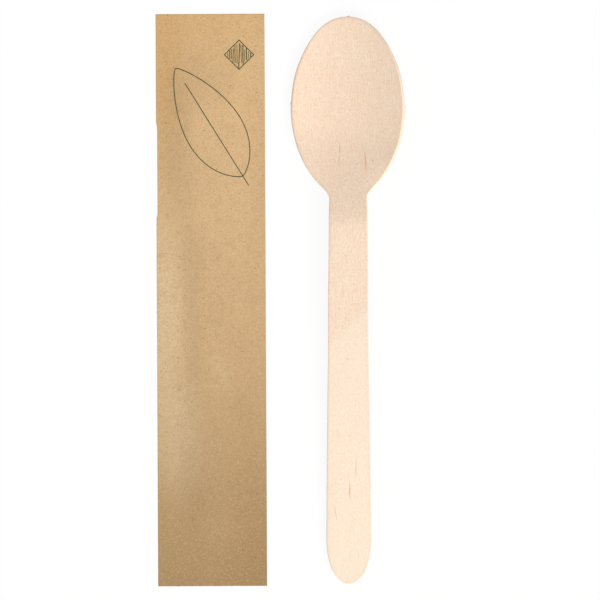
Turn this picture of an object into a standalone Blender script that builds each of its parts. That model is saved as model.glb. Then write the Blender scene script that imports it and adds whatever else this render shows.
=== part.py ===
"""A pack of wooden spoons: one spoon sealed in its paper sleeve, and a bare one lying beside it.

Metres, +Z up, +Y towards the bowls. The pack lies on the plane z = 0, and its origin is there,
under the middle of the pair.
"""

import math

import bmesh
import bpy

# The bare spoon, punched from one leaf of birch veneer and pressed hot into its form.
SPOON_LENGTH = 0.1600
BOWL_LENGTH = 0.0508  # of the whole oval, which the neck cuts into
BOWL_WIDTH = 0.0324
BOWL_DEPTH = 0.0029  # from its floor to its sides, across the grain
TIP_RISE = 0.0003  # the front of the bowl is all but level
NECK_WIDTH = 0.0107
NECK_FILLET = 0.0050
NECK_STRAIGHT = 0.0062  # from the end of the fillet to the bend over the neck
DISH_END = 0.0400  # from the tip to where the dish begins to go over into the flat neck
DISH_RUN_OUT = 0.0130
NECK_RISE = 0.0055
CLIMB_START = 0.0310  # from the tip to where the bowl's floor begins to climb to the neck
CLIMB_OVERRUN = 0.0056  # how far past the bend the climb would level out
HANDLE_WIDTH = 0.0127  # where it begins to round off
HANDLE_END_LENGTH = 0.0125
WOOD_THICKNESS = 0.0018
WOOD_EDGE_ROUND = 0.0004
WOOD_TWIST = math.radians(8)  # the dried leaf has turned the bowl a little against the handle

# The sleeve round the other spoon, a flat paper tube glued along its back and across its ends.
SLEEVE_LENGTH = 0.1610
SLEEVE_WIDTH = 0.0308
PAPER_THICKNESS = 0.00012
SEAM_OFFSET = 0.0050  # from the middle of the back to the lap seam's cut edge
SEAM_RUN_OUT = 0.0070  # from that edge to where the back lies on the table again
END_SEAL = 0.0050
BOWL_SWELL = 0.0028  # how far the spoon inside lifts the front off the back
BOWL_CREST = 0.0040  # half the width that it lifts fully
BOWL_RUN_IN = 0.0240  # from the end seal to the full swell
HANDLE_SWELL = 0.0018
HANDLE_CREST = 0.0025
HANDLE_RUN_IN = 0.0160
WRAPPED_NECK = 0.0560  # from the sleeve's bowl end to where one swell goes over into the other
WRAPPED_NECK_RUN = 0.0220
LEFT_MARGIN = 0.0060  # the paper left of the wrapped handle lies flat
FOLD_PULL = 0.0003  # the left fold is drawn in beside the wrapped bowl
FOLD_PULL_START = 0.0300
FOLD_PULL_END = 0.0580
FOLD_PULL_RUN = 0.0030

# How the two lie beside each other.
LYING_GAP = 0.0064
SLEEVE_TURN = math.radians(0.27)
SPOON_TURN = math.radians(0.15)

# How finely the curves are cut.
SPOON_COLUMNS = 12
TIP_CORNER = math.radians(48)  # the grid's corners on the bowl's oval, measured from the tip
END_CORNER = math.radians(50)  # and on the handle's end, measured from its middle
BOWL_FRONT_ROWS = 6
BOWL_REAR_ROWS = 10
FILLET_ROWS = 4
NECK_ROWS = 3
HANDLE_ROWS = 9
END_ROWS = 4
END_ARC_REACH = 0.0188  # how far up the handle its rows still follow the end's arc
SLEEVE_COLUMNS = 24
SLEEVE_ROWS = 56
FOLD_STEPS = 3


def mix(a, b, share):
    """The number that lies this share of the way from a to b."""
    return a + (b - a) * share


def ease(share):
    """Goes smoothly from 0 to 1 as the share does, and stays level outside."""
    share = min(1.0, max(0.0, share))
    return share * share * (3 - 2 * share)


def material(name, colour, roughness):
    """A Principled material of one linear colour."""
    made = bpy.data.materials.new(name)
    made.use_nodes = True
    shader = made.node_tree.nodes["Principled BSDF"]
    shader.inputs["Base Color"].default_value = (*colour, 1)
    shader.inputs["Roughness"].default_value = roughness
    shader.inputs["Metallic"].default_value = 0
    return made


def add_object(name, bm, finish):
    """Puts the mesh in the scene under this name, shaded smooth apart from its sharp edges."""
    mesh = bpy.data.meshes.new(name)
    bm.to_mesh(mesh)
    bm.free()
    mesh.materials.append(finish)
    mesh.shade_smooth()
    mesh.set_sharp_from_angle(angle=math.radians(40))
    made = bpy.data.objects.new(name, mesh)
    bpy.context.scene.collection.objects.link(made)
    return made


def oval_point(angle):
    """A point on the bowl's oval as (distance from the tip, half-width): angle 0 is the tip."""
    along = BOWL_LENGTH / 2 * (1 - math.cos(angle))
    return along, BOWL_WIDTH / 2 * math.sin(angle)


def oval_normal(angle):
    """The oval's outward direction at that angle, in the same two measures."""
    along = -math.cos(angle) / BOWL_LENGTH
    across = math.sin(angle) / BOWL_WIDTH
    size = math.hypot(along, across)
    return along / size, across / size


def neck_fillet():
    """Where the fillet leaves the oval, as an angle, and the fillet's centre.

    The centre slides round the oval, one radius outside it, until it is one radius from the neck.
    """
    low = math.radians(90)
    high = math.radians(180)
    for _ in range(48):
        angle = (low + high) / 2
        point = oval_point(angle)
        normal = oval_normal(angle)
        centre = [point[i] + NECK_FILLET * normal[i] for i in (0, 1)]
        if centre[1] > NECK_WIDTH / 2 + NECK_FILLET:
            low = angle
        else:
            high = angle
    return angle, centre


FILLET_START, FILLET_CENTRE = neck_fillet()
BEND = FILLET_CENTRE[0] + NECK_STRAIGHT
HANDLE_END = SPOON_LENGTH - HANDLE_END_LENGTH


def handle_half_width(along):
    """The handle's sides run straight from the fillet to where its end rounds off."""
    share = (along - FILLET_CENTRE[0]) / (HANDLE_END - FILLET_CENTRE[0])
    return mix(NECK_WIDTH, HANDLE_WIDTH, share) / 2


def end_point(angle):
    """A point on the handle's half-oval end: angle 0 is its middle, 90 degrees where it starts."""
    along = HANDLE_END + HANDLE_END_LENGTH * math.cos(angle)
    return along, HANDLE_WIDTH / 2 * math.sin(angle)


def outline_rows():
    """One side of the outline, a (distance from the tip, half-width) for each row of the grid."""
    rows = []
    for i in range(BOWL_FRONT_ROWS):
        rows.append(oval_point(mix(TIP_CORNER, math.pi / 2, i / BOWL_FRONT_ROWS)))
    for i in range(BOWL_REAR_ROWS):
        rows.append(oval_point(mix(math.pi / 2, FILLET_START, i / BOWL_REAR_ROWS)))
    normal = oval_normal(FILLET_START)
    start = math.atan2(-normal[1], -normal[0])
    for i in range(FILLET_ROWS):
        turn = mix(start, -math.pi / 2, i / FILLET_ROWS)
        along = FILLET_CENTRE[0] + NECK_FILLET * math.cos(turn)
        rows.append((along, FILLET_CENTRE[1] + NECK_FILLET * math.sin(turn)))
    for i in range(NECK_ROWS):
        along = mix(FILLET_CENTRE[0], BEND, i / NECK_ROWS)
        rows.append((along, handle_half_width(along)))
    for i in range(HANDLE_ROWS):
        along = mix(BEND, HANDLE_END, i / HANDLE_ROWS)
        rows.append((along, handle_half_width(along)))
    for i in range(END_ROWS + 1):
        rows.append(end_point(mix(math.pi / 2, END_CORNER, i / END_ROWS)))
    return rows


def arc_height(share, corner):
    """How far an end's arc stands out at this share of its half-width: 0 at its corners, 1 between."""
    flat = math.cos(corner)
    return (math.sqrt(1 - (share * math.sin(corner)) ** 2) - flat) / (1 - flat)


def row_bow(along, share):
    """How far a grid point moves off its row, so that the first and last rows are the ends' arcs.

    The bow dies out by the bowl's middle, and within the end arc's reach up the handle.
    """
    tip = oval_point(TIP_CORNER)[0]
    end = end_point(END_CORNER)[0]
    near_tip = max(0.0, (BOWL_LENGTH / 2 - along) / (BOWL_LENGTH / 2 - tip))
    near_end = max(0.0, 1 - (end - along) / END_ARC_REACH)
    to_tip = tip * near_tip**2 * arc_height(share, TIP_CORNER)
    to_end = (SPOON_LENGTH - end) * near_end**2 * arc_height(share, END_CORNER)
    return to_end - to_tip


def climb(along):
    """How far the middle of the underside has climbed here: a little at the tip, and from the
    bowl's floor up to the bend."""
    middle = BOWL_LENGTH / 2
    to_tip = max(0.0, 1 - along / middle)
    to_neck = (along - CLIMB_START) / (BEND + CLIMB_OVERRUN - CLIMB_START)
    return TIP_RISE * to_tip**2 + NECK_RISE * ease(to_neck)


def underside_height(along, across):
    """The pressed underside: a dish bent across the grain, a flat neck that climbs to the bend, a
    straight handle down to the table, and the twist between bowl and handle.

    The twist lowers one side of the dish, and the handle's end comes down to its lowest line.
    """
    middle = BOWL_LENGTH / 2
    edge = BOWL_WIDTH / 2
    slant = math.tan(WOOD_TWIST)
    if along < BEND:
        flattened = ease((along - DISH_END) / DISH_RUN_OUT)
        height = climb(along) + BOWL_DEPTH * (1 - flattened) * (across / edge) ** 2
    else:
        lowest = -((slant * edge) ** 2) / (4 * BOWL_DEPTH)
        height = mix(climb(BEND), lowest, (along - BEND) / (SPOON_LENGTH - BEND))
    turned = 1 - ease((along - middle) / (SPOON_LENGTH - middle))
    return height + across * slant * turned


def make_bare_spoon(finish):
    """A grid is laid out to the blank's outline and pressed: that is the underside. The wood's
    thickness is added square to it, so the bowl's cut edge leans outward as on a pressed leaf."""
    rows = outline_rows()
    bm = bmesh.new()
    bmesh.ops.create_grid(bm, x_segments=SPOON_COLUMNS, y_segments=len(rows) - 1, size=1)
    for vert in bm.verts:
        share = vert.co.x
        along, half_width = rows[round((1 - vert.co.y) / 2 * (len(rows) - 1))]
        along += row_bow(along, share)
        across = share * half_width
        vert.co = (across, BOWL_LENGTH / 2 - along, underside_height(along, across))
    lowest = min(vert.co.z for vert in bm.verts)
    bmesh.ops.translate(bm, verts=bm.verts, vec=(0, 0, -lowest))
    made = add_object("bare_spoon", bm, finish)
    wood = made.modifiers.new("wood", "SOLIDIFY")
    wood.thickness = WOOD_THICKNESS
    wood.offset = 1
    wood.use_even_offset = True
    edge = made.modifiers.new("edge", "BEVEL")
    edge.width = WOOD_EDGE_ROUND
    edge.segments = 2
    edge.limit_method = "ANGLE"
    edge.angle_limit = math.radians(60)
    return made


def left_fold(from_top):
    """Where the left fold lies at this distance from the sleeve's bowl end."""
    drawn_in = ease((from_top - FOLD_PULL_START) / FOLD_PULL_RUN)
    let_out = ease((from_top - FOLD_PULL_END) / FOLD_PULL_RUN)
    return -SLEEVE_WIDTH / 2 + FOLD_PULL * (drawn_in - let_out)


def swell(across, from_top):
    """How far the spoon inside lifts the front off the back."""
    neck = ease((from_top - WRAPPED_NECK) / WRAPPED_NECK_RUN + 0.5)
    height = mix(BOWL_SWELL, HANDLE_SWELL, neck)
    height *= ease((from_top - END_SEAL) / BOWL_RUN_IN)
    height *= ease((SLEEVE_LENGTH - from_top - END_SEAL) / HANDLE_RUN_IN)
    crest = mix(BOWL_CREST, HANDLE_CREST, neck)
    foot = SLEEVE_WIDTH / 2 - PAPER_THICKNESS
    if across < 0:
        foot -= LEFT_MARGIN * neck
    return height * (1 - ease((abs(across) - crest) / (foot - crest)))


def fold_arc(across, start):
    """Half a turn of folded paper round this middle, in (across, height) points from that angle."""
    arc = []
    for i in range(FOLD_STEPS + 1):
        turn = start + math.pi * i / FOLD_STEPS
        height = PAPER_THICKNESS * (1 + math.sin(turn))
        arc.append((across + PAPER_THICKNESS * math.cos(turn), height))
    return arc


def sleeve_section(from_top):
    """The flattened tube cut across, as (across, height) points: its back with the step of the lap
    seam, its right fold, its front, right to left, and its left fold."""
    left = left_fold(from_top) + PAPER_THICKNESS
    right = SLEEVE_WIDTH / 2 - PAPER_THICKNESS
    back = [
        (SEAM_OFFSET, 0),
        (SEAM_OFFSET, PAPER_THICKNESS),
        (SEAM_OFFSET + SEAM_RUN_OUT, 0),
    ]
    front = []
    for i in range(1, SLEEVE_COLUMNS):
        across = mix(right, left, i / SLEEVE_COLUMNS)
        front.append((across, 2 * PAPER_THICKNESS + swell(across, from_top)))
    return back + fold_arc(right, -math.pi / 2) + front + fold_arc(left, math.pi / 2)


def make_wrapped_spoon(finish):
    """The tube's section at each station, skinned one to the next and closed at both ends."""
    bm = bmesh.new()
    rings = []
    for row in range(SLEEVE_ROWS + 1):
        from_top = SLEEVE_LENGTH * row / SLEEVE_ROWS
        along = SLEEVE_LENGTH / 2 - from_top
        section = sleeve_section(from_top)
        rings.append([bm.verts.new((across, along, height)) for across, height in section])
    for upper, lower in zip(rings, rings[1:]):
        for i in range(len(upper)):
            bm.faces.new((upper[i - 1], upper[i], lower[i], lower[i - 1]))
    bm.faces.new(rings[0])
    bm.faces.new(rings[-1])
    bmesh.ops.recalc_face_normals(bm, faces=bm.faces)
    return add_object("wrapped_spoon", bm, finish)


def main():
    """Makes both and lays them side by side on the table, with their handles' ends level."""
    for old in list(bpy.data.objects):
        bpy.data.objects.remove(old)
    kraft = material("kraft_paper", (0.62, 0.42, 0.23), 0.9)
    birch = material("birch_veneer", (0.93, 0.77, 0.59), 0.6)
    wrapped = make_wrapped_spoon(kraft)
    bare = make_bare_spoon(birch)
    wrapped_reach = SLEEVE_WIDTH / 2 * math.cos(SLEEVE_TURN)
    wrapped_reach += SLEEVE_LENGTH / 2 * math.sin(SLEEVE_TURN)
    bare_reach = BOWL_WIDTH / 2
    reach = wrapped_reach + LYING_GAP / 2 + bare_reach
    wrapped.location = (wrapped_reach - reach, 0, 0)
    wrapped.rotation_euler = (0, 0, SLEEVE_TURN)
    bare.location = (reach - bare_reach, (SPOON_LENGTH - BOWL_LENGTH) / 2, 0)
    bare.rotation_euler = (0, 0, SPOON_TURN)


main()
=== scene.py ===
"""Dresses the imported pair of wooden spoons: a bare birch one beside one in its paper sleeve.

Metres, +Z up, +Y towards the bowls. Both lie on the plane z = 0.
"""

import math

import bpy
from bpy.props import FloatProperty, FloatVectorProperty, IntProperty, PointerProperty
from mathutils import Matrix, Vector
from mathutils.kdtree import KDTree


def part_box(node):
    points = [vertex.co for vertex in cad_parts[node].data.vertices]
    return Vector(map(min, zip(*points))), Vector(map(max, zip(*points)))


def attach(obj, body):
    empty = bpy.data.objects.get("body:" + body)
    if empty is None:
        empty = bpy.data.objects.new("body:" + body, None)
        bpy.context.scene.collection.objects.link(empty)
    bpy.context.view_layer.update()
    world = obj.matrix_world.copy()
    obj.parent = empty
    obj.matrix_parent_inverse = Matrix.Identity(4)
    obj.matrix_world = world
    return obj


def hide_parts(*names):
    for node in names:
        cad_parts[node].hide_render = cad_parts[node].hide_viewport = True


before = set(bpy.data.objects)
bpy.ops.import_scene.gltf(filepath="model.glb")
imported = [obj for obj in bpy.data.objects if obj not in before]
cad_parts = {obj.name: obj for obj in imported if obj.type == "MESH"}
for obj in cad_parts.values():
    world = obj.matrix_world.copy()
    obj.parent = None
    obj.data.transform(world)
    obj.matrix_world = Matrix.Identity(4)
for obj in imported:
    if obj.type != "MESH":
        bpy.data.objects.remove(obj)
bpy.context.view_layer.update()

bl_info = {
    "name": "Wooden spoon pack",
    "version": (1, 0, 0),
    "blender": (4, 5, 0),
    "location": "3D View > Sidebar > Spoon pack",
    "description": "Builds a pressed birch spoon beside another in its kraft paper sleeve",
    "category": "Add Mesh",
}

MM = 0.001
ABOVE = 10 * MM  # where a flat shape waits before it is laid on what is under it
SPOON_MIDDLE = 19.1 * MM  # x of the bare spoon's long axis
SAME_PLACE = 0.001 * MM  # vertices this near to each other are one
SHARP = math.radians(35)  # an edge that turns more than this is a sharp one
MIX_SHARE, MIX_UNDER, MIX_OVER, MIX_RESULT = 0, 6, 7, 2  # a Mix node's sockets for colours


def linear(hex_colour):
    """An sRGB colour such as 0xF5DBC0 as linear red, green and blue."""
    parts = [(hex_colour >> shift & 255) / 255 for shift in (16, 8, 0)]
    return [c / 12.92 if c <= 0.04045 else ((c + 0.055) / 1.055) ** 2.4 for c in parts]


def colour_property(name, description, hex_colour):
    """A colour that the sidebar shows, kept as linear numbers."""
    return FloatVectorProperty(
        name=name, description=description, subtype="COLOR", size=3, min=0, max=1,
        default=linear(hex_colour),
    )


def length_property(name, description, millimetres):
    """A length that the sidebar shows, written here in millimetres."""
    return FloatProperty(
        name=name, description=description, default=millimetres * MM, min=0,
        subtype="DISTANCE", unit="LENGTH", precision=5,
    )


class WoodSettings(bpy.types.PropertyGroup):
    """What a user would change on the bare spoon."""

    veneer: colour_property("Veneer", "Birch veneer between its grain", 0xFFEAD4)
    sapwood: colour_property("Sapwood", "The paler veneer of the handle", 0xFFF0DC)
    rosy: colour_property("Rosy dashes", "Pink dashes of the grain", 0xFACDB4)
    straw: colour_property("Straw dashes", "Yellowish dashes of the grain", 0xF3DFB2)
    grain: colour_property("Grain", "The darker dashes of the grain", 0xE1BB98)
    resin: colour_property("Resin streaks", "Fine orange-brown streaks along the grain", 0xDA9352)
    pin_knot: colour_property("Pin knots", "Specks no wider than a hair", 0xA8784F)
    cut_edge: colour_property("Cut edge", "The wood where the punch cut it", 0xFAE4CF)
    # Painted shade: the brown that the top face's rim is drawn towards.
    painted_rim_shade: colour_property("Painted rim shade", "Shade painted brown along the rim", 0xC79568)
    dash_width: length_property("Grain dash width", "Across the grain", 0.34)
    dash_length: length_property("Grain dash length", "Along the grain", 4.0)
    crisp: length_property("Crisp edge", "How far the cut edge's round corner is drawn out", 0.12)
    bend_round: length_property("Bend rounding", "How far the bend over the neck is eased", 1.4)
    waviness: length_property("Waviness", "How far the dried leaf is out of true", 0.05)


class PaperSettings(bpy.types.PropertyGroup):
    """What a user would change on the sleeve."""

    paper: colour_property("Kraft paper", "The paper at the sleeve's bowl end", 0xDDB98A)
    # Painted shade: the colour that the paper darkens to towards the handle end.
    paper_in_painted_shade: colour_property("Kraft paper, handle end", "Darkened there by painted shade", 0xAC8B60)
    fibre: colour_property("Fibres", "Dark bark fibres in the paper", 0x7A5530)
    width: length_property("Sleeve width", "Between the two long folds", 30.8)
    length: length_property("Sleeve length", "Between the two sealed ends", 161.0)
    thickness: length_property("Paper thickness", "Of one layer", 0.12)
    turn: FloatProperty(
        name="Turn", description="How far the sleeve is turned on the table",
        default=math.radians(0.27), subtype="ANGLE", unit="ROTATION",
    )
    lap_place: length_property("Lap seam", "Its edge on the back, from the middle", 5.0)
    cockle: length_property("Cockle", "Depth of the soft waves in the paper", 0.16)
    crease: length_property("Crease height", "Of the long soft creases", 0.24)


class PrintSettings(bpy.types.PropertyGroup):
    """What a user would change on the print."""

    ink: colour_property("Ink", "Dark green printing ink", 0x3F4C26)
    line: length_property("Line width", "Of the outlines", 0.26)
    leaf_length: length_property("Leaf length", "From stem to point", 36.0)
    leaf_width: length_property("Leaf width", "Across the leaf", 16.0)
    lozenge: length_property("Lozenge", "From corner to corner", 8.6)
    hatches: IntProperty(name="Hatch lines", description="Across the lozenge", default=15, min=3)


class StageSettings(bpy.types.PropertyGroup):
    """What a user would change on the stage."""

    lens: length_property("Focal length", "A long lens flattens the view", 500.0)
    frame_side: length_property("Frame", "Width of the table that the picture takes in", 168.8)
    frame_across: length_property("Frame, across", "Of its middle, from the origin to +X", 5.54)
    frame_along: length_property("Frame, along", "Of its middle, from the origin to +Y", 0.01)
    table_side: length_property("Table", "Length of its side", 6000)
    whiteness: FloatProperty(
        name="Whiteness", description="Share of the table that is plain white and takes no shadow",
        default=0.91, min=0, max=1,
    )
    fill: FloatProperty(name="Fill", description="Share of a level face's light", default=0.59)
    key: FloatProperty(name="Key", description="Share of a level face's light", default=0.41)
    key_height: FloatProperty(
        name="Key height", description="Of the lamp above the table",
        default=math.radians(38), subtype="ANGLE", unit="ROTATION",
    )
    key_side: FloatProperty(
        name="Key side", description="Where the lamp stands, from the handles' ends towards +X",
        default=math.radians(32), subtype="ANGLE", unit="ROTATION",
    )
    softness: FloatProperty(
        name="Softness", description="How broad the lamp looks from the table",
        default=math.radians(30), subtype="ANGLE", unit="ROTATION",
    )


# Modelling


def only(made):
    """Makes this object the only one selected, and the active one."""
    bpy.ops.object.select_all(action="DESELECT")
    made.select_set(True)
    bpy.context.view_layer.objects.active = made
    return made


def pick(made, kind, test):
    """Enters edit mode with just those verts, edges or faces selected that pass the test."""
    only(made)
    bpy.ops.object.mode_set(mode="EDIT")
    bpy.ops.mesh.select_mode(type={"vertices": "VERT", "edges": "EDGE", "polygons": "FACE"}[kind])
    bpy.ops.mesh.select_all(action="DESELECT")
    bpy.ops.object.mode_set(mode="OBJECT")
    count = 0
    for item in getattr(made.data, kind):
        item.select = bool(test(item))
        count += item.select
    if not count:
        raise RuntimeError(f"{made.name}: nothing was selected among its {kind}")
    bpy.ops.object.mode_set(mode="EDIT")


def leave():
    """Back to object mode."""
    bpy.ops.object.mode_set(mode="OBJECT")


def modify(made, kind, **settings):
    """Adds a modifier with these settings and applies it."""
    only(made)
    modifier = made.modifiers.new(kind.lower(), kind)
    for name, value in settings.items():
        setattr(modifier, name, value)
    bpy.ops.object.modifier_apply(modifier=modifier.name)


def nudge(made, spots, by, reach, falloff="SMOOTH", within=0.3 * MM):
    """Pulls the surface at these (x, y) spots by this much, fading out over the reach."""
    spots = [Vector(spot) for spot in spots]
    pick(made, "vertices", lambda v: any((v.co.xy - spot).length < within for spot in spots))
    bpy.ops.transform.translate(
        value=by, use_proportional_edit=True,
        proportional_edit_falloff=falloff, proportional_size=reach,
    )
    leave()


def line_of(points, step):
    """Points at this step along a smooth line through the given ones."""
    found = []
    for a, b in zip(points, points[1:]):
        a, b = Vector(a), Vector(b)
        count = max(1, round((b - a).length / step))
        found += [a.lerp(b, i / count) for i in range(count)]
    return found + [Vector(points[-1])]


def finish_piece(made, *materials):
    """Puts the object's place into its mesh, gives it its materials and shades it smooth."""
    only(made)
    bpy.ops.object.transform_apply(location=True, rotation=True, scale=True)
    bpy.ops.object.shade_smooth_by_angle(angle=SHARP)
    for material in materials:
        made.data.materials.append(material)
    return made


# Materials


def add_node(tree, kind, inputs=(), stops=(), **settings):
    """Adds a shader node with its settings, its input values or links, and its ramp's stops."""
    made = tree.nodes.new("ShaderNode" + kind)
    for name, value in settings.items():
        setattr(made, name, value)
    for socket, value in dict(inputs).items():
        if isinstance(value, bpy.types.NodeSocket):
            tree.links.new(value, made.inputs[socket])
        else:
            made.inputs[socket].default_value = value
    for i, (place, colour) in enumerate(stops):
        elements = made.color_ramp.elements
        stop = elements[i] if i < len(elements) else elements.new(place)
        stop.position, stop.color = place, colour
    return made


def new_material(name, roughness, ior):
    """An empty Principled material as (material, its tree, its shader)."""
    material = bpy.data.materials.new(name)
    material.use_nodes = True
    tree = material.node_tree
    shader = tree.nodes["Principled BSDF"]
    shader.inputs["Roughness"].default_value = roughness
    shader.inputs["IOR"].default_value = ior
    return material, tree, shader


def seen_share(tree):
    """A socket that is 1 for the camera's rays and for what gloss and clear things show."""
    path = add_node(tree, "LightPath")
    seen = path.outputs["Is Camera Ray"]
    for kind in ("Is Glossy Ray", "Is Transmission Ray"):
        seen = add_node(
            tree, "Math", {0: seen, 1: path.outputs[kind]}, operation="MAXIMUM",
        ).outputs[0]
    return seen


def lay_colours(tree, start, coordinate, layers):
    """Lays noise patterns over a colour: each has its size in mm across and along, the noise that
    it starts and is full at, its turn, and its colour with its strength. Gives the last colour."""
    for across, along, low, high, turn, colour, strength in layers:
        place = add_node(
            tree, "Mapping", {
                "Vector": coordinate,
                "Rotation": (0, 0, math.radians(turn)),
                "Scale": (across * MM, along * MM, across * MM),
            }, vector_type="TEXTURE",
        )
        noise = add_node(
            tree, "TexNoise", {"Vector": place.outputs[0], "Scale": 1, "Detail": 2},
        )
        share = add_node(
            tree, "MapRange", {
                "Value": noise.outputs[0], "From Min": low, "From Max": high, "To Max": strength,
            }, interpolation_type="SMOOTHSTEP",
        )
        start = add_node(
            tree, "Mix",
            {MIX_SHARE: share.outputs[0], MIX_UNDER: start, MIX_OVER: (*colour, 1)},
            data_type="RGBA",
        ).outputs[MIX_RESULT]
    return start


def lay_marks(tree, start, coordinate, marks, colour):
    """Lays single soft marks over a colour: each has its middle x and y, its half width and half
    length in mm, its turn in degrees and its strength."""
    for x, y, half_width, half_length, turn, strength in marks:
        place = add_node(
            tree, "Mapping", {
                "Vector": coordinate,
                "Location": (x * MM, y * MM, 0),
                "Rotation": (0, 0, math.radians(turn)),
                "Scale": (half_width * MM, half_length * MM, 1),
            }, vector_type="TEXTURE",
        )
        spot = add_node(
            tree, "TexGradient", {"Vector": place.outputs[0]}, gradient_type="SPHERICAL",
        )
        share = add_node(
            tree, "MapRange", {"Value": spot.outputs["Fac"], "To Max": strength},
            interpolation_type="SMOOTHSTEP",
        )
        start = add_node(
            tree, "Mix",
            {MIX_SHARE: share.outputs[0], MIX_UNDER: start, MIX_OVER: (*colour, 1)},
            data_type="RGBA",
        ).outputs[MIX_RESULT]
    return start


def lay_dots(tree, start, coordinate, spacing, radius, share, colour, strength):
    """Sprinkles round dots over a colour: in this share of cells of this spacing in mm."""
    place = add_node(
        tree, "Mapping", {"Vector": coordinate, "Scale": (spacing * MM,) * 3},
        vector_type="TEXTURE",
    )
    cells = add_node(
        tree, "TexVoronoi", {"Vector": place.outputs[0], "Scale": 1}, voronoi_dimensions="2D",
    )
    inside = add_node(
        tree, "MapRange", {
            "Value": cells.outputs["Distance"], "From Min": radius / spacing,
            "From Max": 0.3 * radius / spacing, "To Max": strength,
        }, interpolation_type="SMOOTHSTEP",
    )
    chance = add_node(tree, "SeparateColor", {0: cells.outputs["Color"]})
    kept = add_node(tree, "Math", {0: chance.outputs[0], 1: share}, operation="LESS_THAN")
    amount = add_node(
        tree, "Math", {0: inside.outputs[0], 1: kept.outputs[0]}, operation="MULTIPLY",
    )
    return add_node(
        tree, "Mix", {MIX_SHARE: amount.outputs[0], MIX_UNDER: start, MIX_OVER: (*colour, 1)},
        data_type="RGBA",
    ).outputs[MIX_RESULT]


def birch_veneer(wood):
    """Birch, peeled from the log and pressed hot: pale cream and satin, with short fine dashes of
    grain along it, faint broad bands, a few orange-brown streaks and brown shade painted along
    the rim."""
    material, tree, shader = new_material("pressed_birch_veneer", 0.55, 1.5)
    here = add_node(tree, "TexCoord").outputs["Object"]
    width, length = wood.dash_width / MM, wood.dash_length / MM
    # The knife peeled it across two years' rings: past a slanted line the handle is paler.
    slant = add_node(
        tree, "Mapping", {
            "Vector": here, "Location": (19.2 * MM, -7.5 * MM, 0),
            "Rotation": (0, 0, math.radians(-47)),
        }, vector_type="TEXTURE",
    )
    past = add_node(
        tree, "MapRange", {
            "Value": add_node(tree, "SeparateXYZ", {0: slant.outputs[0]}).outputs[0],
            "From Min": -1.5 * MM, "From Max": 1.5 * MM, "To Max": 0.36,
        }, interpolation_type="SMOOTHSTEP",
    )
    colour = lay_marks(
        tree, (*wood.veneer, 1), here,
        (
            (19.0, 52.0, 34, 42, 0, 0.10),
            (19.0, 80.0, 22, 9, 0, 0.06),
        ),
        linear(0xE8B891),
    )
    colour = lay_marks(
        tree, colour, here, ((23.0, -3.0, 4.0, 5.0, -45, 0.12),), linear(0xD9C8B4),
    )
    colour = lay_colours(
        tree, colour, here,
        (
            (4.5, 60, 0.40, 0.72, 0.5, wood.grain, 0.05),
            (1.3, 22, 0.45, 0.75, -0.4, wood.grain, 0.05),
            (width, length, 0.45, 0.72, 0.3, wood.grain, 0.20),
            (0.9 * width, 0.40 * length, 0.48, 0.70, -0.3, wood.rosy, 0.34),
            (width, 0.35 * length, 0.50, 0.72, 0.6, wood.straw, 0.36),
            (0.30, 1.30, 0.47, 0.72, 3, wood.rosy, 0.52),
            (0.30, 0.85, 0.50, 0.72, -5, wood.straw, 0.50),
            (0.7 * width, 0.25 * length, 0.55, 0.78, 0, wood.resin, 0.16),
            (0.30, 0.55, 0.42, 0.72, 4, wood.grain, 0.40),
            (5, 4, 0.45, 0.75, 20, wood.rosy, 0.06),
            (6, 5, 0.45, 0.75, -30, wood.straw, 0.08),
        ),
    )
    colour = add_node(
        tree, "Mix",
        {MIX_SHARE: past.outputs[0], MIX_UNDER: colour, MIX_OVER: (*wood.sapwood, 1)},
        data_type="RGBA",
    ).outputs[MIX_RESULT]
    colour = lay_marks(
        tree, colour, here,
        (
            (16.7, 42.5, 0.24, 2.3, 0.3, 0.75),
            (16.5, 39.2, 0.24, 2.8, -1.0, 0.40),
            (23.95, 39.0, 0.25, 4.7, 3.4, 0.75),
            (21.25, -47.3, 0.28, 4.2, -0.5, 0.45),
            (19.5, -53.4, 0.26, 3.3, 0.0, 0.85),
            (15.55, -59.8, 0.24, 3.2, 10.0, 0.45),
        ),
        wood.resin,
    )
    colour = lay_marks(
        tree, colour, here,
        (
            (18.9, -16.6, 0.24, 0.36, 0, 0.5),
            (19.5, -38.2, 0.22, 0.34, 0, 0.35),
            (17.3, -74.3, 0.24, 0.36, 0, 0.3),
            (26.0, 39.0, 0.28, 0.36, 0, 0.6),
            (4.0, 52.9, 0.26, 0.34, 0, 0.6),
        ),
        wood.pin_knot,
    )
    # Painted shade: the top face turns a little browner near its rim, fading out 0.9 mm from it.
    rim = add_node(tree, "Attribute", attribute_name="from_rim")
    rim_shade_share = add_node(
        tree, "MapRange", {
            "Value": rim.outputs["Fac"], "From Min": 0.9 * MM, "From Max": 0.2 * MM, "To Max": 0.10,
        }, interpolation_type="SMOOTHSTEP",
    )
    colour = add_node(
        tree, "Mix",
        {MIX_SHARE: rim_shade_share.outputs[0], MIX_UNDER: colour, MIX_OVER: (*wood.painted_rim_shade, 1)},
        data_type="RGBA",
    ).outputs[MIX_RESULT]
    tree.links.new(colour, shader.inputs["Base Color"])
    place = add_node(
        tree, "Mapping", {
            "Vector": here, "Scale": (wood.dash_width, wood.dash_length, wood.dash_width),
        }, vector_type="TEXTURE",
    )
    relief = add_node(tree, "TexNoise", {"Vector": place.outputs[0], "Scale": 1, "Detail": 3})
    bump = add_node(
        tree, "Bump", {"Height": relief.outputs[0], "Strength": 0.5, "Distance": 0.03 * MM},
    )
    tree.links.new(bump.outputs[0], shader.inputs["Normal"])
    gloss = add_node(
        tree, "MapRange", {"Value": relief.outputs[0], "To Min": 0.48, "To Max": 0.64},
    )
    tree.links.new(gloss.outputs[0], shader.inputs["Roughness"])
    return material


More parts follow.
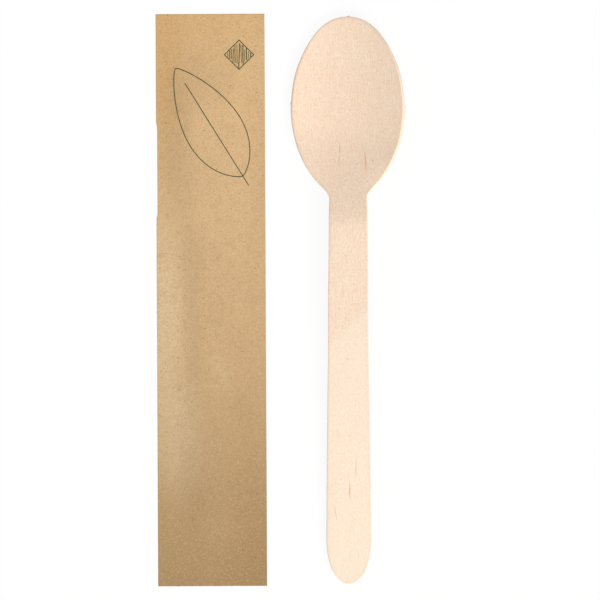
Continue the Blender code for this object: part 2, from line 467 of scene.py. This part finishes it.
def birch_cut_edge(wood):
    """Birch where the punch cut it: matt and a little paler, in thin layers along the edge, with
    a few torn fibres."""
    material, tree, shader = new_material("birch_cut_edge", 0.8, 1.5)
    here = add_node(tree, "SeparateXYZ", {0: add_node(tree, "TexCoord").outputs["Object"]})
    rim = add_node(tree, "Attribute", attribute_name="from_rim")
    place = add_node(
        tree, "CombineXYZ",
        {0: here.outputs[0], 1: here.outputs[1], 2: rim.outputs["Fac"]},
    )
    colour = (*wood.cut_edge, 1)
    for along, down, low, high, darker, strength in (
        (4.0, 0.16, 0.45, 0.75, wood.grain, 0.5),
        (0.5, 0.30, 0.55, 0.80, wood.resin, 0.35),
    ):
        stretched = add_node(
            tree, "Mapping",
            {"Vector": place.outputs[0], "Scale": (along * MM, along * MM, down * MM)},
            vector_type="TEXTURE",
        )
        noise = add_node(
            tree, "TexNoise", {"Vector": stretched.outputs[0], "Scale": 1, "Detail": 2},
        )
        share = add_node(
            tree, "MapRange", {
                "Value": noise.outputs[0], "From Min": low, "From Max": high, "To Max": strength,
            }, interpolation_type="SMOOTHSTEP",
        )
        colour = add_node(
            tree, "Mix",
            {MIX_SHARE: share.outputs[0], MIX_UNDER: colour, MIX_OVER: (*darker, 1)},
            data_type="RGBA",
        ).outputs[MIX_RESULT]
    bump = add_node(
        tree, "Bump", {"Height": noise.outputs[0], "Strength": 0.6, "Distance": 0.05 * MM},
    )
    tree.links.new(colour, shader.inputs["Base Color"])
    tree.links.new(bump.outputs[0], shader.inputs["Normal"])
    return material


def kraft_paper(paper):
    """Unbleached kraft paper, calendered on one side: matt, cloudy where the pulp lies thicker,
    with fine brown bark fibres and paler ones, and a soft tooth. Painted shade darkens it towards
    the handle end, at the top left and down the right, and painted light makes its left paler."""
    material, tree, shader = new_material("unbleached_kraft_paper", 0.85, 1.45)
    here = add_node(tree, "TexCoord").outputs["Object"]
    split = add_node(tree, "SeparateXYZ", {0: here})
    # Painted shade: the paper darkens along the sleeve towards its handle end.
    along = add_node(
        tree, "MapRange",
        {"Value": split.outputs[1], "From Min": -80 * MM, "From Max": 80 * MM},
    )
    painted_shade_along = add_node(
        tree, "ValToRGB", {0: along.outputs[0]},
        stops=(
            (0, (0, 0, 0, 1)), (0.15, (0.22,) * 4), (0.29, (0.52,) * 4), (0.40, (0.74,) * 4),
            (1, (1, 1, 1, 1)),
        ),
    )
    colour = add_node(
        tree, "Mix",
        {
            MIX_SHARE: painted_shade_along.outputs[0], MIX_UNDER: (*paper.paper_in_painted_shade, 1),
            MIX_OVER: (*paper.paper, 1),
        }, data_type="RGBA",
    ).outputs[MIX_RESULT]
    dark, pale = linear(0x9C7A4E), linear(0xECD5AE)
    # Painted light and shade of the paper's soft waves: the browner marks at the top left and
    # across the bowl end, and the dark marks down the right, are painted shade; the yellower patch
    # right of the bowl and the pale marks, mostly along the left fold, are painted light.
    for mark_colour, marks in (
        (
            linear(0xCB9A55),
            (
                (-33.0, 62.0, 10, 40, 0, 0.44),
                (-20.0, 84.0, 45, 26, 0, 0.40),
            ),
        ),
        (linear(0xE8BE86), ((-15.5, 66.0, 16, 34, 0, 0.42),)),
        (
            dark,
            (
                (-9.0, -45.0, 12, 95, 0, 0.20),
                (-6.0, 42.0, 12, 38, 0, 0.14),
                (-5.0, -68.0, 14, 32, 0, 0.24),
                (-13.2, -13.6, 5, 5, 0, 0.07),
            ),
        ),
        (
            pale,
            (
                (-33.6, -5.0, 12, 40, 0, 0.46),
                (-29.0, -38.0, 11, 28, 0, 0.34),
                (-16.8, -19.8, 3.8, 8.5, 29, 0.10),
            ),
        ),
    ):
        colour = lay_marks(tree, colour, here, marks, mark_colour)
    colour = lay_colours(
        tree, colour, here,
        (
            (7, 10, 0.42, 0.70, 15, dark, 0.06),
            (1.6, 2.2, 0.45, 0.75, -20, dark, 0.13),
            (0.9, 0.7, 0.48, 0.75, 50, linear(0xE6B98A), 0.16),
            (0.36, 0.44, 0.40, 0.70, 40, dark, 0.27),
            (0.30, 0.60, 0.50, 0.75, -50, pale, 0.22),
            (0.30, 0.95, 0.56, 0.78, 25, dark, 0.22),
            (0.30, 0.50, 0.66, 0.76, 70, paper.fibre, 0.30),
        ),
    )
    colour = lay_dots(tree, colour, here, 3.6, 0.26, 0.18, paper.fibre, 0.60)
    colour = lay_dots(tree, colour, here, 1.7, 0.24, 0.40, dark, 0.42)
    tree.links.new(colour, shader.inputs["Base Color"])
    tooth = add_node(
        tree, "TexNoise", {"Vector": here, "Scale": 1 / (0.5 * MM), "Detail": 4},
    )
    bump = add_node(
        tree, "Bump", {"Height": tooth.outputs[0], "Strength": 0.5, "Distance": 0.04 * MM},
    )
    tree.links.new(bump.outputs[0], shader.inputs["Normal"])
    gloss = add_node(tree, "MapRange", {"Value": tooth.outputs[0], "To Min": 0.75, "To Max": 0.95})
    tree.links.new(gloss.outputs[0], shader.inputs["Roughness"])
    return material


def printing_ink(ink):
    """Water-based ink soaked into paper: dark green and matt, broken where fibres lift through."""
    material, tree, shader = new_material("printing_ink", 0.8, 1.45)
    here = add_node(tree, "TexCoord").outputs["Object"]
    colour = lay_colours(
        tree, (*ink, 1), here,
        (
            (0.5, 0.8, 0.50, 0.80, 30, linear(0x8A7A4E), 0.5),
            (2.0, 3.0, 0.50, 0.80, 0, linear(0x5C6636), 0.4),
        ),
    )
    tree.links.new(colour, shader.inputs["Base Color"])
    return material


# Pieces


class SPOONPACK_OT_birch_spoon(bpy.types.Operator):
    """Build the bare spoon from the pressed leaf's solid"""

    bl_idname = "spoonpack.birch_spoon"
    bl_label = "Birch spoon"

    def execute(self, context):
        wood = context.scene.spoonpack_wood
        spoon = bpy.data.objects.new("birch_spoon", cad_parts["bare_spoon"].data.copy())
        context.scene.collection.objects.link(spoon)
        only(spoon)
        bpy.ops.mesh.customdata_custom_splitnormals_clear()
        spoon.data.materials.clear()
        pick(spoon, "vertices", lambda v: True)
        bpy.ops.mesh.remove_doubles(threshold=SAME_PLACE)
        bpy.ops.mesh.tris_convert_to_quads(
            face_threshold=math.radians(60), shape_threshold=math.radians(80),
            topology_influence=1.0,
        )
        bpy.ops.mesh.select_all(action="SELECT")
        bpy.ops.mesh.normals_make_consistent(inside=False)
        leave()

        # The punch leaves a crisper edge than the solid's round one.
        pick(spoon, "vertices", lambda v: True)
        bpy.ops.mesh.select_mode(type="EDGE")
        bpy.ops.mesh.select_all(action="DESELECT")
        bpy.ops.mesh.edges_select_sharp(sharpness=SHARP)
        bpy.ops.transform.shrink_fatten(value=wood.crisp)
        leave()

        ridge = max(spoon.data.vertices, key=lambda v: v.co.z).co.y
        verts = spoon.data.vertices
        pick(
            spoon, "edges",
            lambda e: all(abs(verts[i].co.y - ridge) < 0.6 * MM for i in e.vertices),
        )
        bpy.ops.mesh.bevel(offset=wood.bend_round, segments=3, affect="EDGES")
        leave()

        # The punch isn't quite the solid's oval: it is narrower towards the tip and fuller at the
        # neck. Each stretch has its ends along the spoon, its width, its shift and its reach.
        for low, high, width, shift, reach in (
            (70.0, 81.0, 0.960, (0, -0.12), 13.0),
            (79.3, 81.0, 1.0, (0, -0.10), 1.2),
            (75.5, 79.0, 1.020, (0, 0), 1.5),
            (57.0, 62.0, 0.989, (0, 0), 4.5),
            (50.0, 52.5, 1.004, (0.06, 0), 3.0),
            (35.0, 46.0, 1.005, (0.06, 0), 8.0),
            (31.4, 34.2, 1.030, (0.06, 0), 2.6),
            (30.4, 32.6, 1.040, (0, 0), 1.4),
            (27.5, 29.6, 0.975, (0, 0), 1.8),
            (9.0, 27.0, 1.0, (0.14, 0), 10.0),
            (-20.0, -8.0, 0.978, (0, 0), 14.0),
            (-81.0, -78.5, 1.0, (0, 0.13), 3.0),
        ):
            pick(spoon, "vertices", lambda v: low * MM < v.co.y < high * MM)
            falloff = {
                "use_proportional_edit": True, "proportional_edit_falloff": "SMOOTH",
                "proportional_size": reach * MM,
            }
            bpy.ops.transform.resize(
                value=(width, 1, 1), center_override=(SPOON_MIDDLE, 0, 0), **falloff,
            )
            bpy.ops.transform.translate(value=(shift[0] * MM, shift[1] * MM, 0), **falloff)
            leave()

        # Slot 0 is the leaf's two faces, slot 1 its cut edge, whose faces are the steep ones.
        leaf_slot, cut_slot, steep = 0, 1, 0.6
        spoon.data.materials.append(birch_veneer(wood))
        spoon.data.materials.append(birch_cut_edge(wood))
        for face in spoon.data.polygons:
            if abs(face.normal.z) < steep:
                face.material_index = cut_slot
        modify(
            spoon, "SUBSURF", levels=2, render_levels=2, boundary_smooth="PRESERVE_CORNERS",
        )
        waves = bpy.data.textures.new("dried leaf", "CLOUDS")
        waves.noise_scale = 14 * MM
        modify(
            spoon, "DISPLACE", texture=waves, texture_coords="LOCAL", direction="Z",
            strength=wood.waviness, mid_level=0.5,
        )

        # A nib at the tip, where the punch let go, and fibres torn out along the edge.
        for spot, by, reach in (
            ((19.3, 80.0), (0, 0.30, 0), 0.8),
            ((35.0, 54.1), (0.30, 0.05, 0), 0.8),
            ((34.9, 52.2), (0.18, -0.05, 0), 0.6),
            ((2.85, 55.1), (-0.15, 0, 0), 0.6),
        ):
            place = Vector(spot) * MM
            close = min((v.co.xy - place).length for v in spoon.data.vertices)
            nudge(
                spoon, [place], Vector(by) * MM, reach * MM, "SHARP", within=close + 0.02 * MM,
            )

        # Each vertex learns how far it is from the rim, the line between the top and the cut edge.
        rim = set()
        for face in spoon.data.polygons:
            if face.material_index == cut_slot:
                rim.update(face.vertices)
        shared = set()
        for face in spoon.data.polygons:
            if face.material_index == leaf_slot and face.normal.z > 0:
                shared.update(rim.intersection(face.vertices))
        tree = KDTree(len(shared))
        for i in shared:
            tree.insert(spoon.data.vertices[i].co, i)
        tree.balance()
        reach = spoon.data.attributes.new("from_rim", "FLOAT", "POINT")
        reach.data.foreach_set("value", [tree.find(v.co)[2] for v in spoon.data.vertices])

        finish_piece(spoon)
        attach(spoon, "root")
        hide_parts("bare_spoon")
        return {"FINISHED"}


class SPOONPACK_OT_paper_sleeve(bpy.types.Operator):
    """Build the kraft paper sleeve over the wrapped spoon's solid"""

    bl_idname = "spoonpack.paper_sleeve"
    bl_label = "Paper sleeve"

    def execute(self, context):
        paper = context.scene.spoonpack_paper
        low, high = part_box("wrapped_spoon")
        middle = (low + high) / 2
        columns, rows = 64, 320
        inner = paper.width - 2 * paper.thickness
        margin = 0.02 * MM  # keeps the sheet's border on the solid while it is laid on
        step = 0.4 * MM  # between the points along a crease
        bpy.ops.object.select_all(action="DESELECT")
        bpy.ops.mesh.primitive_grid_add(
            x_subdivisions=columns, y_subdivisions=rows, size=1, location=(0, 0, 0),
        )
        sleeve = context.object
        sleeve.name = sleeve.data.name = "paper_sleeve"
        sleeve.scale = (inner - margin, paper.length - margin, 1)
        bpy.ops.object.transform_apply(location=False, rotation=False, scale=True)
        top = paper.length / 2

        # The left fold is drawn in beside the wrapped bowl.
        left = -inner / 2
        pick(
            sleeve, "vertices",
            lambda v: v.co.x < left + 0.1 * MM and 32 * MM < top - v.co.y < 59 * MM,
        )
        bpy.ops.transform.translate(
            value=(0.3 * MM, 0, 0), use_proportional_edit=True,
            proportional_edit_falloff="SMOOTH", proportional_size=2 * MM,
        )
        leave()
        sleeve.matrix_world = Matrix.Translation((middle.x, middle.y, ABOVE)) @ Matrix.Rotation(
            paper.turn, 4, "Z"
        )
        only(sleeve)
        bpy.ops.object.transform_apply(location=True, rotation=True, scale=True)
        modify(
            sleeve, "SHRINKWRAP", target=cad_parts["wrapped_spoon"], wrap_method="PROJECT",
            use_project_z=True, use_negative_direction=True, use_positive_direction=False,
        )
        if max(v.co.z for v in sleeve.data.vertices) > high.z + MM:
            raise RuntimeError("the sleeve's sheet reaches past the wrapped spoon's solid")
        # It was laid a little inside the solid's outline, so it is drawn out to the full width.
        pick(sleeve, "vertices", lambda v: True)
        bpy.ops.transform.resize(
            value=(1 + paper.thickness / inner, 1, 1), center_override=(middle.x, 0, 0),
        )
        leave()
        modify(sleeve, "SMOOTH", factor=0.5, iterations=60, use_x=False, use_y=False)
        # Over the handle the paper is slacker than over the bowl.
        for lowest, highest, repeats in ((-78 * MM, 26 * MM, 40), (-77 * MM, -24 * MM, 140)):
            pick(
                sleeve, "vertices",
                lambda v: lowest < v.co.y < highest and abs(v.co.x - middle.x) < inner / 2 - MM,
            )
            bpy.ops.mesh.vertices_smooth(
                factor=0.5, repeat=repeats, xaxis=False, yaxis=False, zaxis=True,
            )
            leave()
        aside = Vector((math.cos(paper.turn), math.sin(paper.turn)))
        ahead = Vector((-aside.y, aside.x))
        corner = middle.xy + aside * (left + 0.3 * MM) + ahead * top
        nudge(
            sleeve, line_of([corner - ahead * 59.6 * MM, corner - ahead * 57.6 * MM], step),
            (-0.28 * MM, 0, 0), 1.0 * MM,
        )

        cockle = bpy.data.textures.new("cockled paper", "CLOUDS")
        cockle.noise_scale = 13 * MM
        modify(
            sleeve, "DISPLACE", texture=cockle, texture_coords="LOCAL", direction="Z",
            strength=paper.cockle, mid_level=0.5,
        )
        # Along the left fold it stands up as far as a soft crease.
        nudge(
            sleeve, line_of(
                [(-33.6 * MM, 10 * MM), (-31.6 * MM, 3.7 * MM), (-31.0 * MM, 1.9 * MM),
                 (-32.2 * MM, -3.3 * MM), (-31.1 * MM, -11.8 * MM), (-30.2 * MM, -17.4 * MM),
                 (-30.0 * MM, -27 * MM)], step,
            ), (0, 0, paper.crease), 3 * MM, "SPHERE",
        )
        nudge(
            sleeve, line_of([(-19.7 * MM, -14.7 * MM), (-14.0 * MM, -24.8 * MM)], step),
            (0, 0, -0.3 * paper.crease), 3 * MM,
        )
        nudge(
            sleeve, line_of([(-10 * MM, -54.8 * MM), (-4.6 * MM, -54.4 * MM)], 0.5 * MM),
            (0, 0, 0.3 * paper.crease), 1.2 * MM,
        )

        # The back is the sheet drawn down, far enough to be told by its height, and flattened.
        drop = 20 * MM
        pick(sleeve, "polygons", lambda f: True)
        bpy.ops.mesh.extrude_region_move(TRANSFORM_OT_translate={"value": (0, 0, -drop)})
        leave()
        pick(sleeve, "vertices", lambda v: v.co.z < -drop / 2)
        bpy.ops.transform.resize(value=(1, 1, 0), center_override=(0, 0, 0))
        bpy.ops.mesh.select_all(action="SELECT")
        bpy.ops.mesh.normals_make_consistent(inside=False)
        leave()
        if max(sleeve.data.polygons, key=lambda f: f.center.z).normal.z < 0:
            pick(sleeve, "polygons", lambda f: True)
            bpy.ops.mesh.flip_normals()
            leave()

        # The lap seam's edge runs along the back; past it the back stands off the table.
        rise = 0.06 * MM  # how wide the seam's step is
        flat = 0.01 * MM  # what is lower than this lies on the table

        def from_seam(vert):
            return (vert.co.xy - middle.xy).dot(aside) - paper.lap_place

        pick(sleeve, "polygons", lambda f: f.normal.z < -0.9)
        for reach in (0, rise):
            bpy.ops.mesh.bisect(
                plane_co=(*(middle.xy + aside * (paper.lap_place + reach)), 0),
                plane_no=(*aside, 0), threshold=SAME_PLACE,
            )
            bpy.ops.mesh.select_all(action="DESELECT")
            leave()
            pick(sleeve, "polygons", lambda f: f.normal.z < -0.9)
        leave()
        pick(sleeve, "vertices", lambda v: v.co.z > flat or from_seam(v) < rise / 2)
        bpy.ops.mesh.hide(unselected=False)
        leave()
        pick(
            sleeve, "vertices",
            lambda v: v.co.z < flat and rise / 2 < from_seam(v) < 1.5 * rise,
        )
        bpy.ops.transform.translate(
            value=(0, 0, 0.8 * paper.thickness), use_proportional_edit=True,
            proportional_edit_falloff="SMOOTH", proportional_size=7 * MM,
        )
        bpy.ops.mesh.reveal(select=False)

        # Paper is round where it is folded.
        bpy.ops.mesh.select_mode(type="EDGE")
        bpy.ops.mesh.select_all(action="DESELECT")
        bpy.ops.mesh.edges_select_sharp(sharpness=math.radians(60))
        bpy.ops.mesh.bevel(offset=0.5 * paper.thickness, segments=2, affect="EDGES")
        leave()

        finish_piece(sleeve, kraft_paper(paper))
        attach(sleeve, "root")
        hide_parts("wrapped_spoon")
        return {"FINISHED"}


def lay_on_paper(name, parts, lift=0.01 * MM, film=0.015 * MM):
    """Joins flat printed shapes, lays them this far off the sleeve and gives the ink its film."""
    only(parts[0])
    for part in parts[1:]:
        part.select_set(True)
    if len(parts) > 1:
        bpy.ops.object.join()
    made = bpy.context.object
    made.name = made.data.name = name
    only(made)
    bpy.ops.object.transform_apply(location=True, rotation=True, scale=True)
    modify(
        made, "SHRINKWRAP", target=bpy.data.objects["paper_sleeve"], wrap_method="PROJECT",
        use_project_z=True, use_negative_direction=True, use_positive_direction=False,
        offset=lift,
    )
    if max(v.co.z for v in made.data.vertices) > ABOVE - MM:
        raise RuntimeError(f"{name} reaches past the sleeve")
    modify(made, "SOLIDIFY", thickness=film, offset=1)
    return made


def strip(width, length, place, turn, cuts):
    """A flat strip of ink at (x, y), cut across so that it can follow the paper."""
    bpy.ops.object.select_all(action="DESELECT")
    bpy.ops.mesh.primitive_grid_add(x_subdivisions=2, y_subdivisions=cuts, size=1)
    made = bpy.context.object
    made.scale = (width, length, 1)
    bpy.ops.object.transform_apply(location=False, rotation=False, scale=True)
    made.matrix_world = Matrix.Translation((*place, ABOVE)) @ Matrix.Rotation(turn, 4, "Z")
    only(made)
    bpy.ops.object.transform_apply(location=True, rotation=True, scale=True)
    return made


class SPOONPACK_OT_print(bpy.types.Operator):
    """Print a leaf and a hatched lozenge on the sleeve's bowl end"""

    bl_idname = "spoonpack.print"
    bl_label = "Print"

    def execute(self, context):
        settings = context.scene.spoonpack_print
        ink = printing_ink(settings.ink)
        lean = math.radians(32)
        middle = Vector((-20.0 * MM, 50 * MM))

        bpy.ops.object.select_all(action="DESELECT")
        bpy.ops.mesh.primitive_circle_add(vertices=160, radius=1, fill_type="NGON")
        leaf = context.object
        for vert in leaf.data.vertices:
            across, along = vert.co.x, vert.co.y
            vert.co.x = (
                settings.leaf_width / 2 * across * abs(across) ** 0.5 * (1 - 0.28 * along)
            )
            vert.co.y = settings.leaf_length / 2 * along
        pick(leaf, "polygons", lambda f: True)
        bpy.ops.mesh.inset(thickness=settings.line, use_even_offset=True)
        bpy.ops.mesh.delete(type="FACE")
        leave()
        leaf.matrix_world = Matrix.Translation((*middle, ABOVE)) @ Matrix.Rotation(lean, 4, "Z")
        up = Matrix.Rotation(lean, 2) @ Vector((0, 1))
        rib_length = 0.94 * settings.leaf_length
        rib = strip(settings.line, rib_length, middle - up * 4.0 * MM, lean, 60)
        made = lay_on_paper("leaf_print", [leaf, rib])
        finish_piece(made, ink)
        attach(made, "root")

        half = settings.lozenge / 2
        place = Vector((-11.6 * MM, 69.0 * MM))
        bpy.ops.object.select_all(action="DESELECT")
        bpy.ops.mesh.primitive_circle_add(vertices=4, radius=half, fill_type="NGON")
        lozenge = context.object
        pick(lozenge, "edges", lambda e: True)
        bpy.ops.mesh.subdivide(number_cuts=9)
        leave()
        pick(lozenge, "polygons", lambda f: True)
        bpy.ops.mesh.inset(thickness=settings.line, use_even_offset=True)
        bpy.ops.mesh.delete(type="FACE")
        leave()
        lozenge.matrix_world = Matrix.Translation((*place, ABOVE))
        parts = [lozenge]
        for i in range(settings.hatches):
            # Each line is drawn as by hand: a little off its place, askew and short.
            wander = math.sin(7.3 * i), math.sin(4.1 * i + 1), math.sin(9.7 * i + 2)
            across = half * (2 * (i + 1) / (settings.hatches + 1) - 1) + 0.06 * MM * wander[0]
            room = 2 * (half - abs(across)) - 3.2 * settings.line
            reach = room * (0.86 + 0.12 * wander[2])
            if reach > 2 * settings.line:
                spot = place + Vector((across, 0.05 * room * wander[1]))
                turn = math.radians(2.5) * wander[1] * (1 - abs(across) / half)
                width = settings.line * (0.85 + 0.25 * wander[2])
                parts.append(strip(width, reach, spot, turn, 12))
        made = lay_on_paper("lozenge_print", parts)
        finish_piece(made, ink)
        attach(made, "root")
        return {"FINISHED"}


class SPOONPACK_OT_stage(bpy.types.Operator):
    """Set up the table, the soft light and the camera straight above"""

    bl_idname = "spoonpack.stage"
    bl_label = "Stage"

    def execute(self, context):
        scene, stage = context.scene, context.scene.spoonpack_stage
        bpy.ops.object.select_all(action="DESELECT")
        bpy.ops.mesh.primitive_plane_add(size=stage.table_side)
        table = context.object
        table.name = "table"
        material = bpy.data.materials.new("white_table")
        material.use_nodes = True
        tree = material.node_tree
        tree.nodes.clear()
        share = add_node(
            tree, "Math", {0: seen_share(tree), 1: stage.whiteness}, operation="MULTIPLY",
        )
        lit = add_node(tree, "BsdfDiffuse", {"Color": (1, 1, 1, 1)})
        white = add_node(tree, "Emission", {"Color": (1, 1, 1, 1), "Strength": 1})
        both = add_node(
            tree, "MixShader", {0: share.outputs[0], 1: lit.outputs[0], 2: white.outputs[0]},
        )
        add_node(tree, "OutputMaterial", {0: both.outputs[0]})
        table.data.materials.append(material)

        world = bpy.data.worlds.new("studio")
        scene.world = world
        world.use_nodes = True
        tree = world.node_tree
        tree.nodes.clear()
        level = add_node(
            tree, "MapRange", {"Value": seen_share(tree), "To Min": stage.fill, "To Max": 1},
        )
        light = add_node(
            tree, "Background", {"Color": (1, 1, 1, 1), "Strength": level.outputs[0]},
        )
        add_node(tree, "OutputWorld", {0: light.outputs[0]})

        bpy.ops.object.light_add(type="SUN")
        lamp = context.object
        lamp.data.energy = stage.key * math.pi / math.sin(stage.key_height)
        lamp.data.angle = stage.softness
        from_side = Vector((math.sin(stage.key_side), -math.cos(stage.key_side), 0))
        towards = from_side * math.cos(stage.key_height)
        towards.z = math.sin(stage.key_height)
        lamp.rotation_euler = towards.to_track_quat("Z", "Y").to_euler()
        lamp.location = towards

        sensor = 36 * MM
        height = stage.frame_side * stage.lens / sensor
        bpy.ops.object.camera_add(
            location=(stage.frame_across, stage.frame_along, height), rotation=(0, 0, 0),
        )
        camera = context.object
        camera.data.sensor_width = sensor / MM
        camera.data.lens = stage.lens / MM
        camera.data.clip_start, camera.data.clip_end = 0.05, 20
        scene.camera = camera
        scene.view_settings.view_transform = "Standard"
        return {"FINISHED"}


OPERATORS = (
    SPOONPACK_OT_birch_spoon,
    SPOONPACK_OT_paper_sleeve,
    SPOONPACK_OT_print,
    SPOONPACK_OT_stage,
)


class SPOONPACK_PT_sidebar(bpy.types.Panel):
    """Lists the pack's pieces and its stage"""

    bl_idname = "SPOONPACK_PT_sidebar"
    bl_label = "Spoon pack"
    bl_space_type = "VIEW_3D"
    bl_region_type = "UI"
    bl_category = "Spoon pack"

    def draw(self, context):
        for operator, group in zip(OPERATORS, SETTINGS):
            box = self.layout.box()
            for name in SETTINGS[group].__annotations__:
                box.prop(getattr(context.scene, group), name)
            box.operator(operator.bl_idname)


SETTINGS = {
    "spoonpack_wood": WoodSettings,
    "spoonpack_paper": PaperSettings,
    "spoonpack_print": PrintSettings,
    "spoonpack_stage": StageSettings,
}


def register():
    """Registers the settings, the operators and the panel."""
    for group, settings in SETTINGS.items():
        bpy.utils.register_class(settings)
        setattr(bpy.types.Scene, group, PointerProperty(type=settings))
    for each in (*OPERATORS, SPOONPACK_PT_sidebar):
        bpy.utils.register_class(each)


def unregister():
    """Takes them out again."""
    for each in reversed((*OPERATORS, SPOONPACK_PT_sidebar)):
        bpy.utils.unregister_class(each)
    for group, settings in SETTINGS.items():
        delattr(bpy.types.Scene, group)
        bpy.utils.unregister_class(settings)


def main():
    """Builds the pieces in their order."""
    register()
    bpy.ops.spoonpack.birch_spoon()
    bpy.ops.spoonpack.paper_sleeve()
    bpy.ops.spoonpack.print()
    bpy.ops.spoonpack.stage()


if __name__ == "__main__":
    main()
